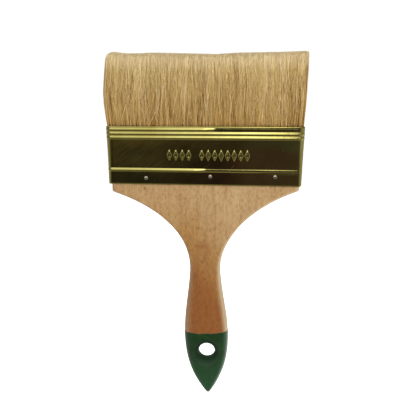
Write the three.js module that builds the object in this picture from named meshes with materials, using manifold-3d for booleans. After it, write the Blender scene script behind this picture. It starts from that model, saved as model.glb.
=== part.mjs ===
// A 150 mm flat wall brush: a wooden handle with a dipped tip, a beaded metal ferrule nailed over
// the handle's head, and three banks of natural bristle set in resin with two spacers between them.
// Millimetres. X is the brush's width, -Y its front, +Z the bristle end. The origin is the centre of
// the hang hole, on the brush's mid plane.

import * as THREE from 'three';
import { mergeVertices } from 'three/addons/utils/BufferGeometryUtils.js';
import Module from 'manifold-3d';

const wasm = await Module();
wasm.setup();

// ---- driving dimensions ---------------------------------------------------------------------

const GAP = 0.3;                    // clearance between pieces that meet
const CORNER_STEPS = 5;             // straight steps in one rounded corner of a section
const CORNERS = 4;
const EDGE_LIMIT = 0.96;            // a corner never takes more than this share of a half side

// handle, half widths against height
const TIP_Z = -36.4;
const TIP_NOSE = [1.9, -35];        // where the pointed side runs into the small round nose
const GRIP_WIDEST = [17.2, 16.5];
const NECK = [11.8, 67.9];
const SHOULDER = [68.2, 128.3];     // outer end of the hollow shoulder curve
const HEAD_HALF_WIDTH = 70.7;
const HEAD_CORNER_Z = 130.3;
const HEAD_TOP_Z = 155.2;           // end of the head, inside the ferrule
const HEAD_HALF_THICK = 9.1;
const NECK_HALF_THICK = 8.3;
const GRIP_HALF_THICK = 9;
const NOSE_HALF_THICK = 1.2;
const HEAD_EDGE = [2.2, 2.2];       // edge rounding across the width and across the thickness
const GRIP_EDGE = [14, 8.7];        // nearly an ellipse
const EDGE_RISE = [22, 100];        // between these heights the grip's rounding becomes the head's

// dipped tip
const DIP_Z = GRIP_WIDEST[1];       // the coat ends where the grip is widest
const COAT_PROUD = 0.2;
const COAT_THICK = 0.5;

// hang hole: a straight waist, eased out to both faces
const HOLE_WAIST_R = 6.6;
const HOLE_RIM_R = 11.2;
const HOLE_WAIST_HALF = 3;
const HOLE_EASE = 1.6;              // how late the wall opens out towards the faces
const HOLE_ROUND_STEPS = 28;
const HOLE_EASE_STEPS = 4;

// ferrule
const FERRULE_BOTTOM_Z = 134.5;
const FERRULE_TOP_Z = 177.5;
const FERRULE_HALF_THICK = 10;
const FERRULE_BOTTOM_HALF = 72.6;
const FERRULE_TOP_HALF = 74.8;
const PANEL_HALF = 69.7;            // the flat front and back panels, fold line to fold line
const SHEET = 0.5;
const BEAD_ZS = [145.4, 169.4, 172.4, 175.4];
const BEAD_HALF_WIDTH = 1.35;
const BEAD_HEIGHT = 0.8;
const BEAD_STEPS = 4;

// embossed row of lozenges on the front panel, with one place left empty
const LOZENGE_REACH = 6;            // places on each side of the middle one
const LOZENGE_EMPTY = -2;
const LOZENGE_PITCH = 4.85;
const LOZENGE_CENTRE = [2.7, 156.6];
const LOZENGE_HALF = [1.9, 3.8];
const LOZENGE_HEIGHT = 0.4;

// nails, three in the front and three in the back
const NAIL_SPOTS = { left: [-44.8, 139.6], centre: [3.2, 140.5], right: [51.2, 140.2] };
const NAIL_HEAD_R = 1.5;
const NAIL_HEAD_HEIGHT = 1;
const NAIL_SHANK_R = 0.7;
const NAIL_LENGTH = 8.4;
const NAIL_POINT = 2;
const NAIL_HOLE_R = NAIL_SHANK_R + GAP;
const NAIL_HOLE_END = 1.3;          // distance from the mid plane to the bottom of a nail hole
const NAIL_SIDES = 12;

// resin setting, spacers and bristle
const SETTING_Z = [HEAD_TOP_Z + GAP, 166];
const BUTT_Z = 160;                 // where the bristle and the spacers start, inside the resin
const BUTT_HALF = [70.6, 7.9];
const SPACER_TOP_Z = 174;
const SPACER_HALF_WIDTH = 70;
const SPACER_THICK = 2.4;
const SPACER_Y = 3.2;
const BANK_GAP = 0.4;
const BRISTLE_EDGE = 4.5;
// height, half width and half thickness of the bristle above the ferrule's mouth
const BRISTLE_SWELL = [
  [182, 75, 9.7], [190, 76.1, 10.2], [203, 76.7, 10.6], [217, 76.1, 10.3], [227, 75.1, 9.2]];
const BRISTLE_END = [232, 73.4, 7.4];

// ---- geometry helpers -----------------------------------------------------------------------

// the corner points of one rounded rectangle, counter-clockwise seen from above
function sectionPoint({ w, t, rx, ry }, index) {
  const corner = Math.floor(index / (CORNER_STEPS + 1));
  const step = index % (CORNER_STEPS + 1);
  const angle = (corner - 1 + step / CORNER_STEPS) * Math.PI / 2;
  const alongX = Math.min(rx, w * EDGE_LIMIT);
  const alongY = Math.min(ry, t * EDGE_LIMIT);
  const sideX = corner < 2 ? 1 : -1;
  const sideY = corner === 1 || corner === 2 ? 1 : -1;
  const x = sideX * (w - alongX) + alongX * Math.cos(angle);
  const y = sideY * (t - alongY) + alongY * Math.sin(angle);
  return [x, y];
}

// a closed body through a list of level sections { z, w, t, rx, ry }, lowest first
function loft(sections) {
  const sides = CORNERS * (CORNER_STEPS + 1);
  const rows = sections.length - 1;
  const geometry = new THREE.CylinderGeometry(1, 1, 1, sides, rows);
  const position = geometry.attributes.position;
  for (let i = 0; i < position.count; i += 1) {
    const turn = Math.atan2(position.getX(i), position.getZ(i)) / (2 * Math.PI);
    const index = (Math.round(turn * sides) + sides) % sides;
    const section = sections[Math.round((position.getY(i) + 0.5) * rows)];
    const onRim = Math.hypot(position.getX(i), position.getZ(i)) > 0.5;
    const [x, y] = onRim ? sectionPoint(section, index) : [0, 0];
    position.setXYZ(i, x, y, section.z);
  }
  return geometry;
}

// the same surface with shared vertices merged and empty triangles dropped
function weld(geometry) {
  const bare = geometry.clone();
  bare.deleteAttribute('normal');
  bare.deleteAttribute('uv');
  const merged = mergeVertices(bare);
  const source = merged.index.array;
  const kept = [];
  for (let i = 0; i < source.length; i += 3) {
    const [a, b, c] = [source[i], source[i + 1], source[i + 2]];
    if (a !== b && b !== c && c !== a) kept.push(a, b, c);
  }
  merged.setIndex(kept);
  return merged;
}

function toSolid(geometry) {
  const welded = weld(geometry);
  const mesh = new wasm.Mesh({
    numProp: 3,
    vertProperties: new Float32Array(welded.attributes.position.array),
    triVerts: new Uint32Array(welded.index.array),
  });
  return new wasm.Manifold(mesh);
}

function toGeometry(solid) {
  const mesh = solid.getMesh();
  const geometry = new THREE.BufferGeometry();
  geometry.setAttribute('position', new THREE.BufferAttribute(mesh.vertProperties, 3));
  geometry.setIndex(new THREE.BufferAttribute(mesh.triVerts, 1));
  geometry.computeVertexNormals();
  return geometry;
}

function box(sizeX, sizeY, sizeZ, x, y, z) {
  return new THREE.BoxGeometry(sizeX, sizeY, sizeZ).translate(x, y, z);
}

// ---- handle and dipped tip ------------------------------------------------------------------

const vector = ([x, z]) => new THREE.Vector2(x, z);

// the side of the handle as curves of half width against height, from the nose up
const NOSE_CURVE = new THREE.QuadraticBezierCurve(
  vector([0.35, TIP_Z]), vector([1.3, TIP_Z + 0.3]), vector(TIP_NOSE));
const TIP_CURVE = new THREE.CubicBezierCurve(
  vector(TIP_NOSE), vector([13.5, -18.7]), vector([GRIP_WIDEST[0], -5.1]), vector(GRIP_WIDEST));
const GRIP_CURVE = new THREE.CubicBezierCurve(
  vector(GRIP_WIDEST), vector([GRIP_WIDEST[0], 31.7]), vector([NECK[0], 54.2]), vector(NECK));
const SHOULDER_CURVE = new THREE.CubicBezierCurve(
  vector(NECK), vector([NECK[0], 99.2]), vector([42.8, 119.3]), vector(SHOULDER));
const CORNER_CURVE = new THREE.QuadraticBezierCurve(
  vector(SHOULDER), vector([HEAD_HALF_WIDTH, 129.2]), vector([HEAD_HALF_WIDTH, HEAD_CORNER_Z]));

// half thickness of the handle: slim at the neck, fuller in the grip, rounded off at the nose
function halfThickness(z) {
  if (z > NECK[1]) {
    const rise = THREE.MathUtils.smoothstep(z, NECK[1], SHOULDER[1]);
    return THREE.MathUtils.lerp(NECK_HALF_THICK, HEAD_HALF_THICK, rise);
  }
  if (z > DIP_Z) {
    const fall = THREE.MathUtils.smoothstep(z, DIP_Z, NECK[1]);
    return THREE.MathUtils.lerp(GRIP_HALF_THICK, NECK_HALF_THICK, fall);
  }
  const down = Math.min((DIP_Z - z) / (DIP_Z - TIP_Z), 1);
  return Math.max(GRIP_HALF_THICK * Math.sqrt(1 - down ** 3), NOSE_HALF_THICK);
}

function edgeRounding(z) {
  const squareness = THREE.MathUtils.smoothstep(z, ...EDGE_RISE);
  return [0, 1].map((axis) => THREE.MathUtils.lerp(GRIP_EDGE[axis], HEAD_EDGE[axis], squareness));
}

// a section of the handle, its side moved inwards by inset along the curve's normal
function handleSection(curve, share, inset) {
  const point = curve.getPoint(share);
  const tangent = curve.getTangent(share);
  const z = point.y + tangent.x * inset;
  const [edgeX, edgeY] = edgeRounding(point.y);
  return {
    z,
    w: Math.max(point.x - tangent.y * inset, 0.2),
    t: halfThickness(point.y) - inset,
    rx: edgeX / Math.max(tangent.y, 0.2),
    ry: edgeY,
  };
}

// sections along one curve, skipping its first point, which the curve before it ends on
function handleSections(curve, steps, inset = 0) {
  return Array.from({ length: steps }, (_, i) => handleSection(curve, (i + 1) / steps, inset));
}

function tipSections(inset) {
  return [
    handleSection(NOSE_CURVE, 0, inset),
    ...handleSections(NOSE_CURVE, 2, inset),
    ...handleSections(TIP_CURVE, 10, inset),
  ];
}

function headSection(z) {
  return { z, w: HEAD_HALF_WIDTH, t: HEAD_HALF_THICK, rx: HEAD_EDGE[0], ry: HEAD_EDGE[1] };
}

function extended(sections, z) {
  return [...sections, { ...sections[sections.length - 1], z }];
}

// the cutter for the hang hole, widened by margin for the wood under the coat
function holeCutter(margin) {
  const face = GRIP_HALF_THICK + COAT_PROUD;
  const profile = [];
  for (let i = 0; i <= HOLE_EASE_STEPS; i += 1) {
    const share = i / HOLE_EASE_STEPS;
    const radius = THREE.MathUtils.lerp(HOLE_WAIST_R, HOLE_RIM_R, share ** HOLE_EASE) + margin;
    profile.push(vector([radius, THREE.MathUtils.lerp(HOLE_WAIST_HALF, face, share)]));
  }
  profile.push(vector([HOLE_RIM_R + margin, face + 1]), vector([0, face + 1]));
  const mirrored = profile.map(({ x, y }) => vector([x, -y])).reverse();
  return toSolid(new THREE.LatheGeometry([...mirrored, ...profile], HOLE_ROUND_STEPS));
}

function nailHoleCutter(side, [x, z]) {
  const length = FERRULE_HALF_THICK;
  const hole = new THREE.CylinderGeometry(NAIL_HOLE_R, NAIL_HOLE_R, length, NAIL_SIDES);
  return toSolid(hole.translate(x, side * (NAIL_HOLE_END + length / 2), z));
}

function makeHandle() {
  const inset = COAT_THICK - COAT_PROUD + GAP;
  const full = handleSection(GRIP_CURVE, 0, 0);
  let wood = toSolid(loft([
    ...extended(tipSections(inset), DIP_Z + GAP),
    { ...full, z: DIP_Z + GAP + 0.02 },
    ...handleSections(GRIP_CURVE, 8),
    ...handleSections(SHOULDER_CURVE, 15),
    ...handleSections(CORNER_CURVE, 2),
    headSection(HEAD_TOP_Z),
  ])).subtract(holeCutter(inset));
  for (const side of [-1, 1]) {
    for (const spot of Object.values(NAIL_SPOTS)) {
      wood = wood.subtract(nailHoleCutter(side, spot));
    }
  }
  return toGeometry(wood);
}

function makeDipCoat() {
  const outer = toSolid(loft(tipSections(-COAT_PROUD))).subtract(holeCutter(0));
  const inside = COAT_THICK - COAT_PROUD;
  const core = toSolid(loft(extended(tipSections(inside), DIP_Z + 2)));
  return toGeometry(outer.subtract(core.subtract(holeCutter(COAT_THICK))));
}

// ---- ferrule and nails ----------------------------------------------------------------------

function ferruleSection(z, raise) {
  const share = (z - FERRULE_BOTTOM_Z) / (FERRULE_TOP_Z - FERRULE_BOTTOM_Z);
  const half = THREE.MathUtils.lerp(FERRULE_BOTTOM_HALF, FERRULE_TOP_HALF, share);
  const fold = half - PANEL_HALF;
  return {
    z,
    w: half + raise,
    t: FERRULE_HALF_THICK + raise,
    rx: fold + raise,
    ry: THREE.MathUtils.lerp(fold, FERRULE_HALF_THICK * 0.7, share) + raise,
  };
}

function beadSections(z) {
  return Array.from({ length: BEAD_STEPS + 1 }, (_, i) => {
    const across = i / BEAD_STEPS * 2 - 1;
    return ferruleSection(z + across * BEAD_HALF_WIDTH, BEAD_HEIGHT * Math.cos(across * Math.PI / 2));
  });
}

function lozenge(place) {
  const depth = LOZENGE_HEIGHT + SHEET / 2;
  const geometry = new THREE.CylinderGeometry(1, 1, depth, CORNERS);
  geometry.scale(LOZENGE_HALF[0], 1, LOZENGE_HALF[1]);
  return toSolid(geometry.translate(
    LOZENGE_CENTRE[0] + place * LOZENGE_PITCH,
    -FERRULE_HALF_THICK - LOZENGE_HEIGHT + depth / 2,
    LOZENGE_CENTRE[1]));
}

function makeFerrule() {
  const outer = loft([
    ferruleSection(FERRULE_BOTTOM_Z, 0),
    ...BEAD_ZS.flatMap(beadSections),
    ferruleSection(FERRULE_TOP_Z, 0),
  ]);
  const inner = loft([
    ferruleSection(FERRULE_BOTTOM_Z - 1, -SHEET),
    ferruleSection(FERRULE_TOP_Z + 1, -SHEET),
  ]);
  let sleeve = toSolid(outer).subtract(toSolid(inner));
  for (let place = -LOZENGE_REACH; place <= LOZENGE_REACH; place += 1) {
    if (place !== LOZENGE_EMPTY) sleeve = sleeve.add(lozenge(place));
  }
  for (const side of [-1, 1]) {
    for (const spot of Object.values(NAIL_SPOTS)) {
      sleeve = sleeve.subtract(nailHoleCutter(side, spot));
    }
  }
  return toGeometry(sleeve);
}

// a round-headed nail along Y, driven in from side -1 (front) or 1 (back)
function makeNail(side) {
  const seat = FERRULE_HALF_THICK + GAP / 2;
  const profile = [
    vector([0, seat - NAIL_LENGTH]),
    vector([NAIL_SHANK_R, seat - NAIL_LENGTH + NAIL_POINT]),
    vector([NAIL_SHANK_R, seat]),
    vector([NAIL_HEAD_R, seat]),
    vector([NAIL_HEAD_R * 0.87, seat + NAIL_HEAD_HEIGHT * 0.5]),
    vector([NAIL_HEAD_R * 0.5, seat + NAIL_HEAD_HEIGHT * 0.87]),
    vector([0, seat + NAIL_HEAD_HEIGHT]),
  ];
  const geometry = weld(new THREE.LatheGeometry(profile, NAIL_SIDES));
  return side < 0 ? geometry.rotateX(Math.PI) : geometry;
}

// ---- setting, spacers and bristle -----------------------------------------------------------

function innerSection(z) {
  const inner = ferruleSection(z, -SHEET);
  return { ...inner, w: inner.w - GAP, t: inner.t - GAP };
}

function makeSetting() {
  const block = toSolid(loft(SETTING_Z.map(innerSection)));
  const pocketHeight = SETTING_Z[1] - BUTT_Z + 2;
  const pocket = toSolid(box(
    2 * (BUTT_HALF[0] + GAP), 2 * (BUTT_HALF[1] + GAP), pocketHeight,
    0, 0, BUTT_Z - GAP + pocketHeight / 2));
  return toGeometry(block.subtract(pocket));
}

function makeSpacer(side) {
  const height = SPACER_TOP_Z - BUTT_Z;
  return box(2 * SPACER_HALF_WIDTH, SPACER_THICK, height, 0, side * SPACER_Y, BUTT_Z + height / 2);
}

function bristleSection([z, w, t]) {
  return { z, w, t, rx: BRISTLE_EDGE, ry: BRISTLE_EDGE };
}

// all the bristle as one body, before it is parted into banks
function bristleBody() {
  const shoulderZ = SETTING_Z[1] + GAP;
  return toSolid(loft([
    bristleSection([BUTT_Z, ...BUTT_HALF]),
    bristleSection([shoulderZ, ...BUTT_HALF]),
    innerSection(shoulderZ + 0.02),
    innerSection(FERRULE_TOP_Z),
    ...BRISTLE_SWELL.map(bristleSection),
    bristleSection(BRISTLE_END),
  ]));
}

// the slot for one spacer, and above it the thin parting between two banks
function parting(side) {
  const top = BRISTLE_END[0] + 1;
  const slotTop = SPACER_TOP_Z + GAP;
  const wide = 2 * (FERRULE_TOP_HALF + 5);
  const slot = toSolid(box(
    wide, SPACER_THICK + 2 * GAP, slotTop - BUTT_Z + 1, 0, side * SPACER_Y, (slotTop + BUTT_Z - 1) / 2));
  const slit = toSolid(box(
    wide, BANK_GAP, top - BUTT_Z, 0, side * SPACER_Y, (top + BUTT_Z) / 2));
  return slot.add(slit);
}

// the share of the bristle between two planes across the thickness
function makeBank(fromY, toY) {
  const height = BRISTLE_END[0] - BUTT_Z + 4;
  const window = toSolid(box(
    2 * (FERRULE_TOP_HALF + 5), toY - fromY, height, 0, (fromY + toY) / 2, BUTT_Z - 2 + height / 2));
  const parted = bristleBody().subtract(parting(-1)).subtract(parting(1));
  return toGeometry(parted.intersect(window));
}

// ---- assembly -------------------------------------------------------------------------------

const FINISHES = {
  wood: { color: 0xb89063, roughness: 0.5, metalness: 0 },
  lacquer: { color: 0x24452b, roughness: 0.2, metalness: 0 },
  brass: { color: 0x8a7a2e, roughness: 0.25, metalness: 1 },
  steel: { color: 0xc9c6bd, roughness: 0.25, metalness: 1 },
  resin: { color: 0x6b4a2a, roughness: 0.4, metalness: 0 },
  spacer: { color: 0xc9a878, roughness: 0.8, metalness: 0 },
  bristle: { color: 0xbd9a68, roughness: 0.75, metalness: 0 },
};

const brush = new THREE.Group();

function addPiece(name, geometry, finish) {
  const piece = new THREE.Mesh(geometry, new THREE.MeshStandardMaterial(FINISHES[finish]));
  piece.name = name;
  brush.add(piece);
}

addPiece('handle', makeHandle(), 'wood');
addPiece('dip_coat', makeDipCoat(), 'lacquer');
addPiece('ferrule', makeFerrule(), 'brass');
for (const [face, side] of [['front', -1], ['back', 1]]) {
  for (const [place, [x, z]] of Object.entries(NAIL_SPOTS)) {
    addPiece(`nail_${face}_${place}`, makeNail(side).translate(x, 0, z), 'steel');
  }
}
addPiece('bristle_setting', makeSetting(), 'resin');
addPiece('spacer_front', makeSpacer(-1), 'spacer');
addPiece('spacer_rear', makeSpacer(1), 'spacer');
const OUTER_Y = 2 * FERRULE_HALF_THICK;
addPiece('bristle_front', makeBank(-OUTER_Y, -SPACER_Y), 'bristle');
addPiece('bristle_middle', makeBank(-SPACER_Y, SPACER_Y), 'bristle');
addPiece('bristle_rear', makeBank(SPACER_Y, OUTER_Y), 'bristle');

export default brush;
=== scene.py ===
import math
from collections import namedtuple

import bpy
import numpy as np
from mathutils import Matrix, Vector


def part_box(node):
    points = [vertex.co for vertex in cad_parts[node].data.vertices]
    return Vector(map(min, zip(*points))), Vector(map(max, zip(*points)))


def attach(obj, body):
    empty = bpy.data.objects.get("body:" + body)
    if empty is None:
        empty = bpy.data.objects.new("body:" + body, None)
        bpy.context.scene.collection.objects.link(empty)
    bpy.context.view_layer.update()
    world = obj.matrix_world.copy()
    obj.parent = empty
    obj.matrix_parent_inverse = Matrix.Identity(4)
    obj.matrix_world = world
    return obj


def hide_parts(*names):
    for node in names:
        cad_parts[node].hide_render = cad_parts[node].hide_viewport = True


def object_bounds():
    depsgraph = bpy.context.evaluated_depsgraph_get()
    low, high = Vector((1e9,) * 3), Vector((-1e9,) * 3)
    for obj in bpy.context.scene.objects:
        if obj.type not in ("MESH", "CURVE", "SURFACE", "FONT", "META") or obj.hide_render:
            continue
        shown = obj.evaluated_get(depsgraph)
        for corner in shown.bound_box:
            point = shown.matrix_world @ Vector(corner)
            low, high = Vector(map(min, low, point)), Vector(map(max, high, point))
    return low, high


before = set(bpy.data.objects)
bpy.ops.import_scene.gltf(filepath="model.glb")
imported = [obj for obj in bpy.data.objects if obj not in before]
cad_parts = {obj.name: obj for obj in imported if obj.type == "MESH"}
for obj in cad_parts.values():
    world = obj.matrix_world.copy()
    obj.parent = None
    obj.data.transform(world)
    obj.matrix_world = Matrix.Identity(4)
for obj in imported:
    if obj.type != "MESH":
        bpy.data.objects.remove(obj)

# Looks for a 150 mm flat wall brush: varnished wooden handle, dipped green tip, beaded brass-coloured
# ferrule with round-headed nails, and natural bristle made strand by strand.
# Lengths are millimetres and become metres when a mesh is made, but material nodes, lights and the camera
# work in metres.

MM = 0.001
CAD_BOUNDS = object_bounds()
BODY = "root"


def cad_box(node):
    """Lowest and highest corner of a CAD node, in millimetres."""
    low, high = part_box(node)
    return np.array(low) / MM, np.array(high) / MM


HANDLE_HIGH = cad_box("handle")[1]
COAT_LOW, COAT_HIGH = cad_box("dip_coat")
FERRULE_LOW, FERRULE_HIGH = cad_box("ferrule")
BRISTLE_HIGH = cad_box("bristle_front")[1]
SETTING_LOW = cad_box("bristle_setting")[0]

# ---- sizes ----------------------------------------------------------------------------------

# handle: control points of the side's curves, half width against height
COAT_PROUD = 0.22
TIP_Z = COAT_LOW[2] + COAT_PROUD
DIP_Z = COAT_HIGH[2]
NOSE_POINTS = [(0.35, TIP_Z), (1.3, TIP_Z + 0.3), (1.9, TIP_Z + 1.4)]
TIP_POINTS = [(1.9, TIP_Z + 1.4), (13.5, TIP_Z + 17.7), (17.2, TIP_Z + 31.3), (17.2, DIP_Z)]
GRIP_POINTS = [(17.2, DIP_Z), (17.2, 31.7), (11.8, 54.2), (11.8, 67.9)]
SHOULDER_POINTS = [(11.8, 67.9), (11.8, 99.2), (42.8, 119.3), (68.2, 128.3)]
HEAD_HALF_WIDTH = HANDLE_HIGH[0]
HEAD_POINTS = [(68.2, 128.3), (HEAD_HALF_WIDTH, 129.2), (HEAD_HALF_WIDTH, 130.3)]
HEAD_TOP_Z = HANDLE_HIGH[2]
HEAD_HALF_THICK = HANDLE_HIGH[1]
NECK_Z = GRIP_POINTS[-1][1]
SHOULDER_Z = SHOULDER_POINTS[-1][1]
NECK_HALF_THICK = 8.3
GRIP_HALF_THICK = 9.0
NOSE_HALF_THICK = 1.2
HEAD_EDGE = (2.2, 2.2)              # edge rounding across the width and across the thickness
GRIP_EDGE = (14.0, 8.7)             # nearly an ellipse
EDGE_RISE = (22, 100)               # between these heights the grip's rounding becomes the head's
DIP_TILT = 0.015                    # the coat's edge stands a little higher on the right
DIP_EDGE_REACH = 8                  # how far below its edge the coat follows the edge's waves
COAT_VOXEL = 0.36
COAT_GAP = 0.02                     # keeps the coat's inner wall off the wood
BEND_HEIGHTS = [-36, -20, 5, 17, 30, 45, 62, 75, 85, 97, 112, 125, 135]
BEND = [0.75, 0.25, -0.1, -0.3, -0.55, -0.8, -0.85, -0.5, -0.1, 0.3, 0.3, 0.0, 0.0]

SMUDGE = (-1.4, 87.0)               # a darker smudge in the varnish at the neck
SMUDGE_REACH = 8.0

# hang hole
HOLE_CENTRE = (0.0, 0.0, -0.3)
HOLE_WAIST_R = 6.45
HOLE_RIM_R = 12.0
HOLE_WAIST_HALF = 2.4
HOLE_EASE = 1.8                     # how late the wall opens out towards the faces

# ferrule
SHEET = 0.45
BEAD_HEIGHT = 0.8
PANEL_HALF = 69.7
FERRULE_HALF_THICK = FERRULE_HIGH[1] - BEAD_HEIGHT
FERRULE_BOTTOM_Z = FERRULE_LOW[2]
FERRULE_TOP_Z = FERRULE_HIGH[2]
FERRULE_BOTTOM_HALF = 72.4
FERRULE_TOP_HALF = 74.5
BEAD_HALF_WIDTH = 1.4
BEADS = [FERRULE_BOTTOM_Z + 10.9, FERRULE_TOP_Z - 8.1, FERRULE_TOP_Z - 5.1, FERRULE_TOP_Z - 2.1]
LAP_HEIGHT = 0.32                   # the sheet's outer end stands this proud at the seam, on the left side
RIDGE_DROP = 1.7                    # a faint second ridge runs this far below the lowest bead, on the right
RIDGE_HEIGHT = 0.07
TURN_CENTRE_Z = 156.0               # the ferrule sits a little crooked, and takes the bristle along
TURN_TOP = 0.010
TURN_BOTTOM = 0.018
FERRULE_SAG = 0.45
LOZENGE_CENTRE = (2.7, 156.6)
LOZENGE_PITCH = 4.85
LOZENGE_REACH = 6                   # places on each side of the middle one
LOZENGE_EMPTY = -2
LOZENGE_HALF = (1.75, 3.9)
LOZENGE_HEIGHT = 0.42
DENTS = [                           # shallow knocks: x, height above the lower edge, reach, depth
    (-52, 22, 17, 0.10), (-18, 17, 22, 0.07), (24, 24, 16, -0.10), (46, 15, 13, 0.12),
    (62, 26, 9, -0.08), (8, 6, 15, 0.05), (-38, 5, 14, -0.05), (40, 6, 12, 0.06)]

# nails: the photograph has the front heads further right than the CAD nails, by the first number and by
# the second one times x
NAIL_SHIFT = (0.95, 0.008)
NAIL_SHANK_R = 0.7
NAIL_CROWN = 1.05
NAIL_REACH = 8.2                    # from the sheet's face to the shank's point
NAIL_TAPER_START = 6.4

# bristle: half width on the left and right, and half thickness, against height
BRISTLE_TOP_Z = BRISTLE_HIGH[2]
ROOT_Z = 172.0
BRISTLE_HEIGHTS = [170, 178, 182, 190, 200, 208, 217, 222, 227, BRISTLE_TOP_Z]
LEFT_HALF = [73.2, 73.9, 74.9, 75.7, 76.2, 75.2, 74.1, 73.6, 73.1, 71.4]
RIGHT_HALF = [73.1, 73.4, 73.6, 74.3, 74.5, 74.6, 74.9, 74.8, 74.7, 74.8]
HALF_THICK = [8.9, 9.1, 9.5, 10.0, 10.5, 10.5, 10.3, 9.9, 9.4, 8.4]
BRISTLE_EDGE = 4.0
LOCK_WIDTH = 0.8                    # neighbouring strands share their tone over this width
TRIM_PLACES = [-75, -66, -58, -36, -6, 9, 24, 53, 69, 75]       # the trimmed end's rise across the width
TRIM_RISE = [1.6, 0.1, -0.6, 0.0, -0.7, -1.1, -0.1, 0.4, 0.9, 1.5]
LONG_COUNT = 9000
TIP_COUNT = 24000
STRAND_RADII = (0.10, 0.165)
CORE_STEPS = (60, 4, 4)
CORE_INSET = 1.9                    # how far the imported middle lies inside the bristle's outline
CORE_BELOW_TRIM = 1.5
CORE_SOCKET = (70.6, 7.6)           # half width and half thickness of the core below the spacers' tops
CORE_HEIGHTS = [SETTING_LOW[2] + 5, 166.0, 170, 178, 190, 203, 212, 219, 224, BRISTLE_TOP_Z - 1]

# what the two kinds of strand differ in: rings along a strand, how strongly those crowd towards its tip,
# its length (none: it starts at ROOT_Z), the share of strays, how far most of them end short of the trim,
# and where on the length's colours a strand starts
Growth = namedtuple("Growth", "rings crowding length stray_share shortfall share_start")
LONG = Growth(rings=8, crowding=1.7, length=None, stray_share=0.08, shortfall=1.7, share_start=0.0)
TIPS = Growth(rings=2, crowding=3.0, length=9, stray_share=0.0, shortfall=0.8, share_start=0.90)

# ---- meshes ---------------------------------------------------------------------------------


def new_piece(name, vertices, faces):
    """A smooth-shaded mesh object from millimetre vertices."""
    mesh = bpy.data.meshes.new(name)
    mesh.from_pydata((np.asarray(vertices, float) * MM).tolist(), [], faces)
    mesh.polygons.foreach_set("use_smooth", [True] * len(mesh.polygons))
    mesh.update()
    piece = bpy.data.objects.new(name, mesh)
    bpy.context.scene.collection.objects.link(piece)
    return piece


def wall_faces(rows, columns, closed=False):
    """Quads between rows of a grid whose columns close on themselves; closed joins last row to first."""
    row, column = np.meshgrid(np.arange(rows if closed else rows - 1), np.arange(columns), indexing="ij")
    following = (column + 1) % columns
    above = (row + 1) % rows
    corners = [row * columns + column, row * columns + following,
               above * columns + following, above * columns + column]
    return np.stack(corners, -1).reshape(-1, 4).tolist()


def closed_loft(name, rings, top=None):
    """A closed body with flat ends, through rings that run counter-clockwise from above, lowest first.

    top is a list of faces across the last ring, and without it that end is a single face."""
    rings = np.asarray(rings, float)
    rows, columns = rings.shape[:2]
    faces = wall_faces(rows, columns)
    last = (rows - 1) * columns
    ends = [list(range(columns))[::-1]]
    ends += [[last + corner for corner in face] for face in top or [range(columns)]]
    piece = new_piece(name, rings.reshape(-1, 3), faces + ends)
    for end in range(len(faces), len(faces) + len(ends)):
        piece.data.polygons[end].use_smooth = False
    return piece


def section_ring(z, half, thick, edge_x, edge_y, steps=(24, 6, 10), centre_y=0.0):
    """A level rounded rectangle; steps are those of a long side, a short side and a corner."""
    long_steps, short_steps, corner_steps = steps
    edge_x = min(edge_x, half * 0.96)
    edge_y = min(edge_y, thick * 0.96)
    points = []
    sides = [(1, -1), (1, 1), (-1, 1), (-1, -1)]
    for corner, (side_x, side_y) in enumerate(sides):
        angles = (corner - 1 + np.linspace(0, 1, corner_steps + 1)) * math.pi / 2
        arc = np.stack([side_x * (half - edge_x) + edge_x * np.cos(angles),
                        side_y * (thick - edge_y) + edge_y * np.sin(angles)], -1)
        points.append(arc)
        next_x, next_y = sides[(corner + 1) % 4]
        following = np.array([next_x * (half - edge_x), next_y * (thick - edge_y)], float)
        following += [edge_x * round(math.cos(angles[-1])), edge_y * round(math.sin(angles[-1]))]
        count = short_steps if corner % 2 == 0 else long_steps
        share = np.linspace(0, 1, count + 1)[1:-1, None]
        points.append(arc[-1] * (1 - share) + following * share)
    flat = np.concatenate(points)
    return np.column_stack([flat[:, 0], flat[:, 1] + centre_y, np.full(len(flat), z)])


def strip_cap(steps):
    """Faces across a section ring's end, from one long side straight to the other."""
    long_steps, short_steps, corner_steps = steps
    count = 2 * (long_steps + short_steps) + 4 * corner_steps
    middle = corner_steps + short_steps // 2
    faces = []
    for step in range(count // 2):
        corners = [middle - step, middle + step, middle + step + 1, middle - step - 1]
        faces.append(list(dict.fromkeys(corner % count for corner in corners)))
    return faces


def bezier(points, steps, skip_first=True):
    """Points and unit tangents along a Bezier curve."""
    share = np.linspace(0, 1, steps + 1)[1 if skip_first else 0:, None]
    control = np.asarray(points, float)
    slopes = np.diff(control, axis=0)

    def blend(row):
        row = [p[None, :] for p in row]
        while len(row) > 1:
            row = [a * (1 - share) + b * share for a, b in zip(row, row[1:])]
        return row[0] * np.ones_like(share)

    tangents = blend(slopes)
    return blend(control), tangents / np.linalg.norm(tangents, axis=1, keepdims=True)


def smoothstep(low, high, value):
    share = np.clip((value - low) / (high - low), 0, 1)
    return share * share * (3 - 2 * share)


def modified(piece, kind, **settings):
    """Applies one modifier to a piece."""
    modifier = piece.modifiers.new(kind.lower(), kind)
    for key, value in settings.items():
        setattr(modifier, key, value)
    graph = bpy.context.evaluated_depsgraph_get()
    mesh = bpy.data.meshes.new_from_object(piece.evaluated_get(graph), depsgraph=graph)
    piece.modifiers.clear()
    old = piece.data
    piece.data = mesh
    mesh.name = piece.name
    bpy.data.meshes.remove(old)


def cut(piece, cutter):
    """Cuts one closed body from another and deletes the cutter."""
    modified(piece, "BOOLEAN", operation="DIFFERENCE", solver="EXACT", object=cutter)
    bpy.data.objects.remove(cutter)
    piece.data.polygons.foreach_set("use_smooth", [True] * len(piece.data.polygons))
    return piece


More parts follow.
